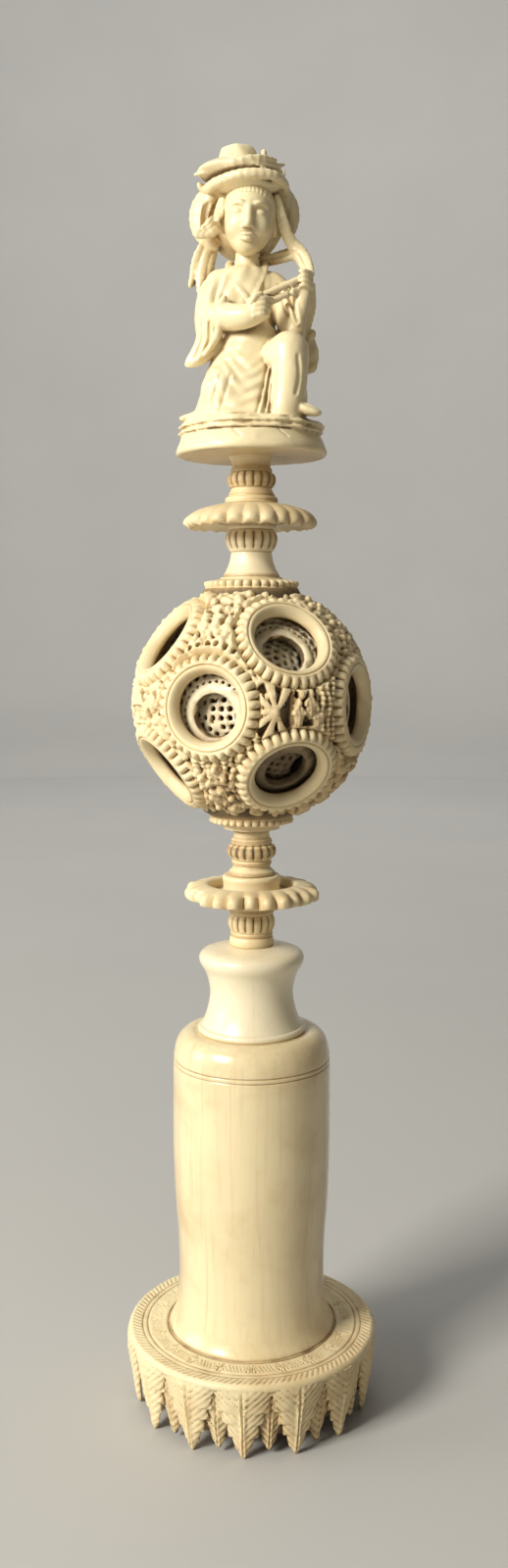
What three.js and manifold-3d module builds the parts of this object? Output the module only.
// Puzzle ball on a turned stand, with a seated figure on top. Millimetres, +Z up, front faces -Y.
import * as THREE from 'three';
import { ConvexGeometry } from 'three/addons/geometries/ConvexGeometry.js';
import { mergeVertices } from 'three/addons/utils/BufferGeometryUtils.js';
import Module from 'manifold-3d';

const wasm = await Module();
wasm.setup();

// Heights of the stacked pieces, from the table
const BALL_CENTRE = 178.8;
const CORE_UNDERSIDE = 3.0;
const BASE_TOP = 20.0;
const NECK_SEAT = BALL_CENTRE - 82.0;
const LOWER_STEM_SEAT = BALL_CENTRE - 60.3;
const LOWER_DISH_SEAT = BALL_CENTRE - 50.6;
const LOWER_COLLAR_TOP = BALL_CENTRE - 42.5;
const BALL_LOWER_SEAT = BALL_CENTRE - 30.9;
const BALL_UPPER_SEAT = BALL_CENTRE + 30.3;
const UPPER_DISH_SEAT = BALL_CENTRE + 43.4;
const UPPER_BOSS_TOP = BALL_CENTRE + 49.4;
const FIGURE_SEAT = BALL_CENTRE + 58.9;

// Base
const MAJOR_LEAVES = 14;
const LEAF_COLUMNS = [-0.06, 0.06, 0.29, 0.5, 0.71];
const LEAF_TURN = THREE.MathUtils.degToRad(-4);
const RIM_RADIUS = 32.0;
const LEAF_TIP_RADIUS = 29.0;
const CORE_RADIUS = 24.5;
const SHORT_LEAF_RECESS = 1.7;

// Stems and dishes
const GADROONS = 7;
const GADROON_DEPTH = 0.45;
const DISH_PETALS = 24;

// Ball: three shells, each resting on the one around it
const OUTER_BODY_RADIUS = 28.8;
const OUTER_INSIDE_RADIUS = 25.6;
const MIDDLE_RADIUS = 24.0;
const MIDDLE_INSIDE_RADIUS = 22.0;
const INNER_RADIUS = 20.4;
const INNER_INSIDE_RADIUS = 18.4;
const MIDDLE_DROP = 0.45;
const INNER_DROP = 0.98;
const HOLE_RING_TURN = THREE.MathUtils.degToRad(-22);
const HOLE_MOUTH_RADIUS = 9.4;
const HOLE_THROAT_RADIUS = 7.8;
const RING_RADIUS = 12.6;
const UPPER_RING_RADIUS = 11.4;
const LOWER_RING_RADIUS = 10.4;
const LOWER_CAP_RADIUS = 7.0;
const HOLE_SIDES = 12;
const TOOTH_DEPTH = 0.7;
const MIDDLE_HOLE_RADIUS = 5.4;
const MIDDLE_HOLE_SIDES = 10;
const INNER_HOLE_RADIUS = 3.2;
const INNER_HOLE_SIDES = 6;

// Head
const HEAD_WIDTH = 12.3;
const HEAD_HEIGHT = HEAD_WIDTH * 1.42;
const HEAD_DEPTH = HEAD_WIDTH * 1.15;
const HEAD_TILT = THREE.MathUtils.degToRad(4);
const HEAD_CENTRE = [-0.6, -1.2, 113.2];

// Ivory tones
const IVORY = 0xeadfbe;
const IVORY_POLISHED = 0xe6d3a6;
const IVORY_WHITE = 0xf0e8d2;
const IVORY_AGED = 0xd9c79a;

const X_AXIS = new THREE.Vector3(1, 0, 0);
const Y_AXIS = new THREE.Vector3(0, 1, 0);
const Z_AXIS = new THREE.Vector3(0, 0, 1);
const FULL_TURN = Math.PI * 2;

// Closed skin over a row of rings, each an array of points, with a point closing either end
function skin(rings, startPoint, endPoint) {
  const columns = rings[0].length;
  const positions = [];
  for (const ring of rings) {
    for (const p of ring) positions.push(p.x, p.y, p.z);
  }
  const startIndex = positions.length / 3;
  positions.push(startPoint.x, startPoint.y, startPoint.z);
  positions.push(endPoint.x, endPoint.y, endPoint.z);
  const endIndex = startIndex + 1;
  const index = [];
  for (let i = 0; i + 1 < rings.length; i += 1) {
    for (let j = 0; j < columns; j += 1) {
      const next = (j + 1) % columns;
      const a = i * columns + j;
      const b = i * columns + next;
      const c = (i + 1) * columns + next;
      const d = (i + 1) * columns + j;
      index.push(a, b, c, a, c, d);
    }
  }
  const last = (rings.length - 1) * columns;
  for (let j = 0; j < columns; j += 1) {
    const next = (j + 1) % columns;
    index.push(startIndex, next, j);
    index.push(endIndex, last + j, last + next);
  }
  const geometry = new THREE.BufferGeometry();
  geometry.setAttribute('position', new THREE.Float32BufferAttribute(positions, 3));
  geometry.setIndex(index);
  return geometry;
}

// Turned body: profile points [radius, height] from the lower axis to the upper one
function turned(profile, columns, shape = (radius) => radius) {
  const rings = profile.map(([radius, height], row) => {
    const ring = [];
    for (let j = 0; j < columns; j += 1) {
      const angle = (j / columns) * FULL_TURN;
      const r = shape(radius, angle, row);
      ring.push(new THREE.Vector3(r * Math.cos(angle), r * Math.sin(angle), height));
    }
    return ring;
  });
  const start = new THREE.Vector3(0, 0, profile[0][1]);
  const end = new THREE.Vector3(0, 0, profile[profile.length - 1][1]);
  return skin(rings, start, end);
}

// Upright body through level ovals [x, y, z, halfWidth, halfDepth], with optional folds
function stacked(levels, columns, folds = () => 1) {
  const rings = levels.map(([x, y, z, halfWidth, halfDepth], row) => {
    const ring = [];
    for (let j = 0; j < columns; j += 1) {
      const angle = (j / columns) * FULL_TURN;
      const fold = folds(angle, row);
      const px = x + halfWidth * fold * Math.cos(angle);
      const py = y + halfDepth * fold * Math.sin(angle);
      ring.push(new THREE.Vector3(px, py, z));
    }
    return ring;
  });
  const first = levels[0];
  const final = levels[levels.length - 1];
  const start = new THREE.Vector3(first[0], first[1], first[2]);
  return skin(rings, start, new THREE.Vector3(final[0], final[1], final[2]));
}

// Limb or ribbon: round sections [x, y, z, radius] square to a path, flattened across it
function limb(path, columns = 8, flatness = 1) {
  const centres = path.map(([x, y, z]) => new THREE.Vector3(x, y, z));
  const rings = [];
  let side = null;
  for (let i = 0; i < path.length; i += 1) {
    const before = centres[Math.max(i - 1, 0)];
    const after = centres[Math.min(i + 1, path.length - 1)];
    const along = new THREE.Vector3().subVectors(after, before).normalize();
    const guide = side || (Math.abs(along.y) < 0.9 ? Y_AXIS.clone() : X_AXIS.clone());
    const across = guide.clone().addScaledVector(along, -guide.dot(along)).normalize();
    const over = new THREE.Vector3().crossVectors(along, across);
    side = across;
    const ring = [];
    for (let j = 0; j < columns; j += 1) {
      const angle = (j / columns) * FULL_TURN;
      const p = centres[i].clone();
      p.addScaledVector(across, path[i][3] * flatness * Math.cos(angle));
      p.addScaledVector(over, path[i][3] * Math.sin(angle));
      ring.push(p);
    }
    rings.push(ring);
  }
  const tip = (end, inward, radius) => {
    const out = new THREE.Vector3().subVectors(end, inward).normalize();
    return end.clone().addScaledVector(out, radius * 0.4);
  };
  const count = centres.length;
  const start = tip(centres[0], centres[1], path[0][3]);
  return skin(rings, start, tip(centres[count - 1], centres[count - 2], path[count - 1][3]));
}

// Rounded lump given by its centre and half sizes
function lump(x, y, z, a, b, c, detail = 1) {
  const geometry = new THREE.IcosahedronGeometry(1, detail);
  geometry.scale(a, b, c);
  geometry.translate(x, y, z);
  return geometry;
}

function solid(geometry) {
  const bare = geometry.clone();
  for (const name of Object.keys(bare.attributes)) {
    if (name !== 'position') bare.deleteAttribute(name);
  }
  const merged = mergeVertices(bare, 1e-4);
  const mesh = new wasm.Mesh({
    numProp: 3,
    vertProperties: new Float32Array(merged.attributes.position.array),
    triVerts: new Uint32Array(merged.index.array),
  });
  return new wasm.Manifold(mesh);
}

function joined(geometries) {
  return geometries.map(solid).reduce((whole, piece) => whole.add(piece));
}

function geometryOf(body) {
  const mesh = body.getMesh();
  const geometry = new THREE.BufferGeometry();
  geometry.setAttribute('position', new THREE.BufferAttribute(new Float32Array(mesh.vertProperties), 3));
  geometry.setIndex(new THREE.BufferAttribute(new Uint32Array(mesh.triVerts), 1));
  return geometry;
}

const group = new THREE.Group();
group.name = 'puzzle_ball_on_stand';

function addPiece(name, geometry, color, roughness, height = 0) {
  const faceted = geometry.index ? geometry.toNonIndexed() : geometry;
  faceted.computeVertexNormals();
  const material = new THREE.MeshStandardMaterial({ color, roughness, metalness: 0 });
  const mesh = new THREE.Mesh(faceted, material);
  mesh.name = name;
  mesh.position.z = height;
  group.add(mesh);
}

// Base: a disc edged by long leaves that stand on the table, with shorter leaves set back between
function baseSolid() {
  const longLeafRise = 14.0;
  const shortLeafTip = 1.4;
  const shortLeafRise = 14.0;
  const tipFlat = 0.13;
  const leafAngle = FULL_TURN / MAJOR_LEAVES;
  const columns = [];
  for (let leaf = 0; leaf < MAJOR_LEAVES; leaf += 1) {
    for (const offset of LEAF_COLUMNS) {
      const from = Math.min(Math.abs(offset), 1 - Math.abs(offset)) * 2;
      const longEdge = from < tipFlat ? 0 : longLeafRise * from ** 1.2;
      const shortEdge = shortLeafTip + shortLeafRise * (1 - from);
      columns.push({
        angle: (leaf + offset) * leafAngle - Math.PI / 2 + LEAF_TURN,
        edge: Math.min(longEdge, shortEdge),
        recess: shortEdge < longEdge ? SHORT_LEAF_RECESS : 0,
        from,
      });
    }
  }
  const rows = [
    () => [CORE_RADIUS, CORE_UNDERSIDE],
    (f) => [LEAF_TIP_RADIUS - 2.4 - f.recess, f.edge],
    (f) => [LEAF_TIP_RADIUS - f.recess, f.edge],
    (f) => [30.4 - f.recess + 0.5 * (1 - f.from), 9.5],
    () => [RIM_RADIUS, 17.6],
    () => [31.0, BASE_TOP],
  ];
  const rings = rows.map((row) => columns.map((column) => {
    const [r, z] = row(column);
    return new THREE.Vector3(r * Math.cos(column.angle), r * Math.sin(column.angle), z);
  }));
  const under = new THREE.Vector3(0, 0, CORE_UNDERSIDE);
  return skin(rings, under, new THREE.Vector3(0, 0, BASE_TOP));
}

addPiece('base', baseSolid(), IVORY, 0.45);

// Vase: waisted body with a rounded shoulder and two grooves, then a cupped neck
const vaseBodyProfile = [
  [21.0, BASE_TOP],
  [18.9, BASE_TOP + 6.5],
  [18.6, BASE_TOP + 22],
  [19.4, BASE_TOP + 33],
  [19.85, BASE_TOP + 45],
  [19.9, BASE_TOP + 66],
  [19.8, BASE_TOP + 70],
  [18.9, BASE_TOP + 73.7],
  [17.1, BASE_TOP + 76.0],
  [14.2, NECK_SEAT],
];
addPiece('vase_body', turned(vaseBodyProfile, 22), IVORY_POLISHED, 0.22);

const vaseNeckProfile = [
  [13.3, NECK_SEAT],
  [13.5, NECK_SEAT + 0.8],
  [11.6, NECK_SEAT + 3.8],
  [10.4, NECK_SEAT + 9.2],
  [11.6, NECK_SEAT + 15.0],
  [13.1, NECK_SEAT + 18.4],
  [12.6, NECK_SEAT + 19.9],
  [10.0, NECK_SEAT + 20.9],
  [6.0, LOWER_STEM_SEAT],
];
addPiece('vase_neck', turned(vaseNeckProfile, 18), IVORY_WHITE, 0.28);

// Stem of collars about a gadrooned bulb: rows flagged true follow the gadroons
function stem(rows) {
  const columns = GADROONS * 2;
  const shape = (radius, angle, row) => {
    const valley = Math.round((angle / FULL_TURN) * columns) % 2 === 1;
    return rows[row][2] && valley ? radius - GADROON_DEPTH : radius;
  };
  return turned(rows, columns, shape);
}

const fromBall = (z) => BALL_CENTRE + z;

addPiece('lower_stem_below_dish', stem([
  [5.0, LOWER_STEM_SEAT, false],
  [5.5, fromBall(-59.8), false],
  [4.8, fromBall(-58.8), false],
  [5.1, fromBall(-58.0), false],
  [4.7, fromBall(-57.3), false],
  [5.7, fromBall(-55.6), true],
  [5.8, fromBall(-53.8), true],
  [4.7, fromBall(-52.3), false],
  [4.9, LOWER_DISH_SEAT, false],
]), IVORY, 0.4);

addPiece('lower_stem_above_dish', stem([
  [5.6, LOWER_COLLAR_TOP, false],
  [5.8, fromBall(-41.9), false],
  [4.4, fromBall(-40.1), false],
  [4.9, fromBall(-39.4), false],
  [4.7, fromBall(-38.4), false],
  [6.0, fromBall(-37.2), true],
  [6.0, fromBall(-35.8), true],
  [4.8, fromBall(-34.7), false],
  [4.9, fromBall(-33.8), false],
  [4.3, BALL_LOWER_SEAT, false],
]), IVORY, 0.4);

addPiece('upper_stem_below_dish', stem([
  [6.8, BALL_UPPER_SEAT, false],
  [6.7, fromBall(30.9), false],
  [5.5, fromBall(33.4), false],
  [4.9, fromBall(36.2), false],
  [6.2, fromBall(38.4), true],
  [6.1, fromBall(40.2), true],
  [5.2, fromBall(41.6), false],
  [5.8, UPPER_DISH_SEAT, false],
]), IVORY_WHITE, 0.4);

addPiece('upper_stem_above_dish', stem([
  [5.6, UPPER_BOSS_TOP, false],
  [4.8, fromBall(51.7), false],
  [5.8, fromBall(52.8), true],
  [5.8, fromBall(54.2), true],
  [4.7, fromBall(55.2), false],
  [4.8, fromBall(56.1), false],
  [4.5, fromBall(56.7), false],
  [5.6, FIGURE_SEAT, false],
]), IVORY_AGED, 0.4);

// Lotus dishes: petals or lobes are raised on every other column
function dish(rows) {
  const columns = DISH_PETALS * 2;
  const shape = (radius, angle, row) => {
    const valley = Math.round((angle / FULL_TURN) * columns) % 2 === 1;
    return valley ? radius - (rows[row][2] || 0) : radius;
  };
  return turned(rows, columns, shape);
}

addPiece('lower_lotus_dish', dish([
  [5.6, LOWER_DISH_SEAT, 0],
  [14.6, fromBall(-47.9), 0.5],
  [16.4, fromBall(-48.3), 1.2],
  [16.7, fromBall(-46.7), 1.0],
  [14.2, fromBall(-45.0), 0.4],
  [10.5, fromBall(-44.8), 0],
  [9.2, fromBall(-46.8), 0],
  [7.0, LOWER_COLLAR_TOP, 0],
]), IVORY, 0.45);

addPiece('upper_lotus_dish', dish([
  [6.4, UPPER_DISH_SEAT, 0],
  [15.7, fromBall(42.7), 0.9],
  [16.0, fromBall(43.6), 0.9],
  [13.6, fromBall(46.4), 0.6],
  [6.3, fromBall(48.0), 0],
  [6.1, UPPER_BOSS_TOP, 0],
]), IVORY_AGED, 0.45);

// Directions of the fourteen holes: the two poles, then four round the middle and eight corners
function holeDirections() {
  const list = [Z_AXIS.clone(), Z_AXIS.clone().negate()];
  const corner = Math.asin(1 / Math.sqrt(3));
  for (let q = 0; q < 4; q += 1) {
    const round = HOLE_RING_TURN + (q * Math.PI) / 2;
    list.push(new THREE.Vector3(Math.sin(round), -Math.cos(round), 0));
    for (const up of [corner, -corner]) {
      const turn = round + Math.PI / 4;
      const flat = Math.cos(up);
      list.push(new THREE.Vector3(Math.sin(turn) * flat, -Math.cos(turn) * flat, Math.sin(up)));
    }
  }
  return list;
}

// Directions of the twelve fields that lie between the holes
function fieldDirections() {
  const list = [];
  for (let q = 0; q < 4; q += 1) {
    const round = HOLE_RING_TURN + (q * Math.PI) / 2;
    const turn = round + Math.PI / 4;
    list.push(new THREE.Vector3(Math.sin(turn), -Math.cos(turn), 0));
    for (const up of [Math.PI / 4, -Math.PI / 4]) {
      const flat = Math.cos(up);
      list.push(new THREE.Vector3(Math.sin(round) * flat, -Math.cos(round) * flat, Math.sin(up)));
    }
  }
  return list;
}

// Ring of points [radius, height, notch] about a direction; odd points step in by the notch
function rimPoints([radius, height, notch = 0], direction, sides) {
  const aim = new THREE.Quaternion().setFromUnitVectors(Z_AXIS, direction);
  const ring = [];
  for (let k = 0; k < sides; k += 1) {
    const angle = (k / sides) * FULL_TURN;
    const r = k % 2 === 1 ? radius - notch : radius;
    const point = new THREE.Vector3(r * Math.cos(angle), r * Math.sin(angle), height);
    ring.push(point.applyQuaternion(aim));
  }
  return ring;
}

// Height at which a ring of the given radius lies on a sphere
const onSphere = (sphereRadius, radius) => Math.sqrt(sphereRadius ** 2 - radius ** 2);

// Hollow ball: rows of rings lead from the outer skin through each hole to the inner skin, or
// end in a flat seat. The skins between the holes are hulls over the ring points and the bumps.
function piercedShell(holes, sides, outerBumps, innerBumps) {
  const points = [];
  const index = [];
  const place = (point) => points.push(point) - 1;
  const outerPoints = outerBumps.map((point) => ({ at: place(point), point, hole: -1 }));
  const innerPoints = innerBumps.map((point) => ({ at: place(point), point, hole: -1 }));
  holes.forEach(({ direction, rows, seat }, hole) => {
    const rings = rows.map((row) => rimPoints(row, direction, sides).map(place));
    for (const at of rings[0]) outerPoints.push({ at, point: points[at], hole });
    for (let i = 0; i + 1 < rings.length; i += 1) {
      for (let k = 0; k < sides; k += 1) {
        const next = (k + 1) % sides;
        index.push(rings[i][k], rings[i][next], rings[i + 1][next]);
        index.push(rings[i][k], rings[i + 1][next], rings[i + 1][k]);
      }
    }
    const last = rings[rings.length - 1];
    if (seat) {
      const centre = place(direction.clone().multiplyScalar(rows[rows.length - 1][1]));
      for (let k = 0; k < sides; k += 1) index.push(centre, last[k], last[(k + 1) % sides]);
    } else {
      for (const at of last) innerPoints.push({ at, point: points[at], hole });
    }
  });
  const addHull = (candidates, reversed) => {
    const nearest = (corner) => candidates.reduce((best, candidate) => (
      candidate.point.distanceToSquared(corner) < best.point.distanceToSquared(corner) ? candidate : best
    ));
    const position = new ConvexGeometry(candidates.map(({ point }) => point)).attributes.position;
    for (let i = 0; i < position.count; i += 3) {
      const corners = [0, 1, 2].map((k) => {
        const corner = new THREE.Vector3().fromBufferAttribute(position, i + k);
        return nearest(corner);
      });
      const [a, b, c] = corners;
      const spansHole = a.hole >= 0 && a.hole === b.hole && b.hole === c.hole;
      if (!spansHole) index.push(...(reversed ? [a.at, c.at, b.at] : [a.at, b.at, c.at]));
    }
  };
  addHull(outerPoints, false);
  addHull(innerPoints, true);
  const geometry = new THREE.BufferGeometry();
  const flat = points.flatMap((p) => [p.x, p.y, p.z]);
  geometry.setAttribute('position', new THREE.Float32BufferAttribute(flat, 3));
  geometry.setIndex(index);
  return geometry;
}

// Small robed figure standing upright in the field between four rings
function reliefFigure(direction) {
  const pieces = [
    limb([[0, -3.6, 27.9, 2.3], [0, 1.2, 28.5, 1.4]], 5),
    new THREE.OctahedronGeometry(1.5, 0).translate(0, 3.0, 28.8),
  ];
  const across = new THREE.Vector3().crossVectors(Z_AXIS, direction).normalize();
  const upright = new THREE.Vector3().crossVectors(direction, across);
  const aim = new THREE.Matrix4().makeBasis(across, upright, direction);
  return joined(pieces.map((piece) => piece.applyMatrix4(aim)));
}

function outerBallSolid() {
  const ringRows = [
    [RING_RADIUS, onSphere(OUTER_BODY_RADIUS, RING_RADIUS)],
    [RING_RADIUS - 0.4, 27.4, TOOTH_DEPTH],
    [HOLE_MOUTH_RADIUS, 28.6],
  ];
  const throatRows = [
    [HOLE_THROAT_RADIUS, 26.4],
    [HOLE_THROAT_RADIUS, onSphere(OUTER_INSIDE_RADIUS, HOLE_THROAT_RADIUS)],
  ];
  const upperSeatRows = [[UPPER_RING_RADIUS, 28.9], [7.6, BALL_UPPER_SEAT - BALL_CENTRE]];
  const lowerSeatRows = [[LOWER_RING_RADIUS, 28.9], [LOWER_CAP_RADIUS, BALL_CENTRE - BALL_LOWER_SEAT]];
  const innerBumps = fieldDirections().map((d) => d.clone().multiplyScalar(OUTER_INSIDE_RADIUS));
  const holes = holeDirections().map((direction, i) => {
    if (i > 1) return { direction, rows: [...ringRows, ...throatRows], seat: false };
    innerBumps.push(direction.clone().multiplyScalar(OUTER_INSIDE_RADIUS));
    innerBumps.push(...rimPoints(throatRows[1], direction, HOLE_SIDES / 2));
    const seatRows = i === 0 ? upperSeatRows : lowerSeatRows;
    return { direction, rows: [...ringRows.slice(0, 2), ...seatRows], seat: true };
  });
  const outerBumps = fieldDirections().map((d) => d.clone().multiplyScalar(OUTER_BODY_RADIUS));
  let ball = solid(piercedShell(holes, HOLE_SIDES, outerBumps, innerBumps));
  for (const direction of fieldDirections()) ball = ball.add(reliefFigure(direction));
  return geometryOf(ball);
}

addPiece('outer_ball', outerBallSolid(), IVORY_AGED, 0.5, BALL_CENTRE);

// Loose shells seen through the holes, each turned its own way
function looseShell(radius, inside, holeRadius, sides, turn) {
  const bumps = (size) => fieldDirections().map((d) => d.applyEuler(turn).multiplyScalar(size));
  const rows = [[holeRadius, onSphere(radius, holeRadius)], [holeRadius, onSphere(inside, holeRadius)]];
  const holes = holeDirections().map((d) => ({ direction: d.applyEuler(turn), rows, seat: false }));
  return piercedShell(holes, sides, bumps(radius), bumps(inside));
}

const middleTurn = new THREE.Euler(0.055, -0.0225, 0.0144, 'ZYX');
const innerTurn = new THREE.Euler(0.06, 0.05, 0.47, 'ZYX');
const middleShell = looseShell(
  MIDDLE_RADIUS, MIDDLE_INSIDE_RADIUS, MIDDLE_HOLE_RADIUS, MIDDLE_HOLE_SIDES, middleTurn);
const innerShell = looseShell(
  INNER_RADIUS, INNER_INSIDE_RADIUS, INNER_HOLE_RADIUS, INNER_HOLE_SIDES, innerTurn);
addPiece('middle_ball', middleShell, IVORY_WHITE, 0.45, BALL_CENTRE - MIDDLE_DROP);
addPiece('inner_ball', innerShell, IVORY, 0.45, BALL_CENTRE - INNER_DROP);

// Figure seated on a rocky slab; heights here are from the ball's centre
function headSolids() {
  const [x, y, z] = HEAD_CENTRE;
  const halfWidth = HEAD_WIDTH / 2;
  const halfHeight = HEAD_HEIGHT / 2;
  const halfDepth = HEAD_DEPTH / 2;
  const third = HEAD_HEIGHT / 6;
  const skull = lump(0, 0, halfHeight * 0.22, halfWidth, halfDepth, halfHeight * 0.78, 1);
  const jawSize = [halfWidth * 0.72, halfDepth * 0.74, halfHeight * 0.62];
  const jaw = lump(0, -halfDepth * 0.2, -halfHeight * 0.38, ...jawSize, 1);
  const noseTip = -halfDepth - 0.3;
  const nose = limb([[0, -halfDepth + 0.5, 0, 0.5], [0, noseTip, -third * 1.5, 0.95]], 6);
  const parts = [skull, jaw, nose];
  for (const part of parts) {
    part.rotateY(HEAD_TILT);
    part.translate(x, y, z);
  }
  return parts;
}

function figureSolid() {
  const rough = (angle, row) => 1 + 0.012 * Math.sin(3 * angle + row) + 0.01 * Math.sin(7 * angle + 2 * row);
  const skirtFolds = (angle, row) => 1 + (row < 3 ? 0.035 : 0.012) * Math.cos(9 * angle);
  const disc = stacked([
    [0, 0, 58.9, 17.5, 17.5],
    [0, 0, 59.7, 18.2, 18.0],
    [0, 0, 61.4, 17.6, 17.4],
    [0, 0, 63.6, 16.4, 16.2],
  ], 18);
  const slab = stacked([
    [0, 0, 63.0, 16.0, 15.6],
    [0, 0, 64.0, 17.6, 17.0],
    [0, 0, 65.4, 17.8, 17.2],
    [0, 0, 66.9, 16.4, 16.0],
  ], 14, rough);
  const skirt = stacked([
    [-1.4, -0.6, 66.2, 14.0, 12.6],
    [-0.8, -0.8, 69.6, 12.6, 11.6],
    [-0.4, -1.0, 76.5, 10.8, 9.8],
    [-1.3, -0.8, 82.0, 7.8, 6.6],
  ], 16, skirtFolds);
  const torso = stacked([
    [-1.4, -0.8, 80.5, 7.4, 5.8],
    [-1.5, -0.6, 87.0, 7.0, 5.2],
    [-2.2, -0.4, 95.0, 8.6, 5.4],
    [-2.4, -0.2, 99.6, 8.4, 4.8],
    [-1.6, -0.2, 102.6, 4.4, 3.4],
  ], 10);
  const crown = stacked([
    [-2.6, 0.4, 121.0, 7.4, 7.2],
    [-3.0, 0.4, 125.6, 5.2, 5.0],
    [-3.0, 0.4, 128.8, 4.4, 4.2],
    [-2.8, 0.4, 130.4, 2.2, 2.2],
  ], 9);
  const brim = stacked([
    [-0.8, 0.2, 119.8, 7.6, 7.8],
    [-1.0, 0.0, 121.2, 9.0, 9.0],
    [-2.2, -0.2, 124.4, 9.6, 8.8],
    [-2.6, 0.2, 125.4, 7.0, 6.6],
  ], 16, (angle, row) => 1 + (row > 1 ? 0.05 : 0.02) * Math.cos(5 * angle + 1));
  const hood = stacked([
    [-1.6, 4.4, 107.6, 6.0, 2.2],
    [-1.8, 4.8, 112.0, 9.6, 3.0],
    [-1.8, 4.6, 118.0, 10.0, 3.4],
    [-1.8, 3.0, 122.4, 8.0, 3.6],
  ], 9);
  const limbs = [
    // bud on the hat, then the side lobes of the hat
    limb([[2.7, -0.6, 123.8, 1.1], [2.9, -0.8, 128.6, 0.7]], 5),
    limb([[-9.4, 2.2, 121.4, 2.4], [-11.6, 2.6, 117, 2.3], [-11.9, 2.2, 112, 2.1], [-11, 1.4, 108.8, 1.0]], 5),
    limb([[6.6, 2.4, 121.4, 2.2], [8.2, 2.6, 117, 2.1], [8.3, 2.0, 112.6, 1.9], [7.4, 1.4, 109.6, 0.9]], 5),
    // lappets beside the head
    limb([[-6.2, 0.6, 115, 1.5], [-9.2, -0.6, 110.8, 1.9], [-12.9, -1.8, 109.6, 0.5]], 5),
    limb([[5.6, 0.2, 118, 1.1], [8.2, -0.4, 112.4, 1.2], [9.6, -0.2, 107, 1.4]], 5),
    // ribbon tails behind the shoulder, then the band that runs to the raised hand
    limb([[-9.8, 2.0, 110, 1.7], [-12.4, 2.8, 103.6, 1.7], [-14, 3.2, 99.8, 0.6]], 5),
    limb([[-9.6, 2.4, 109, 1.7], [-11.8, 2.6, 101.4, 1.7], [-11.2, 2.0, 97.4, 1.4]], 5),
    limb([[0.4, 2.0, 104.2, 1.5], [6, 1.4, 105.2, 1.4], [10.4, -0.4, 106, 1.6], [12.3, -3, 103.4, 1.6],
      [12.5, -5.4, 99.8, 1.5]], 5),
    // neck
    limb([[-1.2, 0, 100.5, 3.0], [-0.8, -0.4, 107, 2.7]], 6),
    // sleeve and forearm on the side of the hanging tip
    limb([[-8.0, -0.4, 99.2, 3.4], [-8.9, -2, 94, 3.7], [-9.0, -4, 88, 3.3], [-10.2, -4.2, 83.6, 2.6],
      [-12.8, -4, 81, 1.6], [-14.4, -3.8, 80.2, 0.8]], 6),
    limb([[-8, -4.4, 90.6, 2.9], [-3.4, -8.8, 89.6, 2.8], [1.4, -10.4, 89.9, 2.6], [3.8, -10.6, 90.4, 1.7]], 6),
    // two rods held between the hands
    limb([[0.4, -11.6, 92.2, 0.75], [11.6, -7.8, 98.0, 0.75]], 5),
    limb([[1.6, -11.4, 91.2, 0.75], [12.0, -7.6, 96.8, 0.75]], 5),
    // raised arm: sleeve to the elbow on the knee, then forearm and hand
    limb([[4.8, -0.4, 98.4, 3.1], [8.2, -2.4, 92, 3.2], [10, -5.4, 86.6, 2.6]], 6),
    limb([[10, -6.0, 86.4, 2.1], [11.4, -6.4, 92, 1.9], [12.2, -6.2, 97.4, 2.2]], 6),
    // raised leg, robe over the shin, shoe
    limb([[2.4, -2.4, 78.5, 5.0], [8.2, -9.0, 81.0, 4.1]], 6),
    limb([[8.2, -9.2, 81.4, 4.0], [8.4, -9.4, 74, 4.1], [9.0, -9.0, 67.6, 4.6]], 7),
    limb([[9.2, -9.6, 68.2, 2.2], [14.2, -10.2, 67.7, 1.4]], 5),
    // spray behind the raised arm
    limb([[7.6, 1.6, 97.5, 1.8], [12.8, 3.0, 93, 1.3], [13.4, 3.0, 88, 1.2], [13.6, 3.2, 83.4, 1.7],
      [12.6, 2.8, 79.8, 0.9]], 5),
    // hem tip trailing over the slab
    limb([[-11.5, -3, 68.4, 1.9], [-16.4, -3.6, 67.4, 0.6]], 5),
  ];
  const foldedKnee = lump(-6.2, -6.8, 72.6, 5.2, 5.0, 5.6, 1);
  const parts = [disc, slab, skirt, torso, crown, brim, hood, foldedKnee, ...headSolids(), ...limbs];
  return geometryOf(joined(parts));
}

addPiece('figure', figureSolid(), IVORY, 0.42, BALL_CENTRE);

export default group;
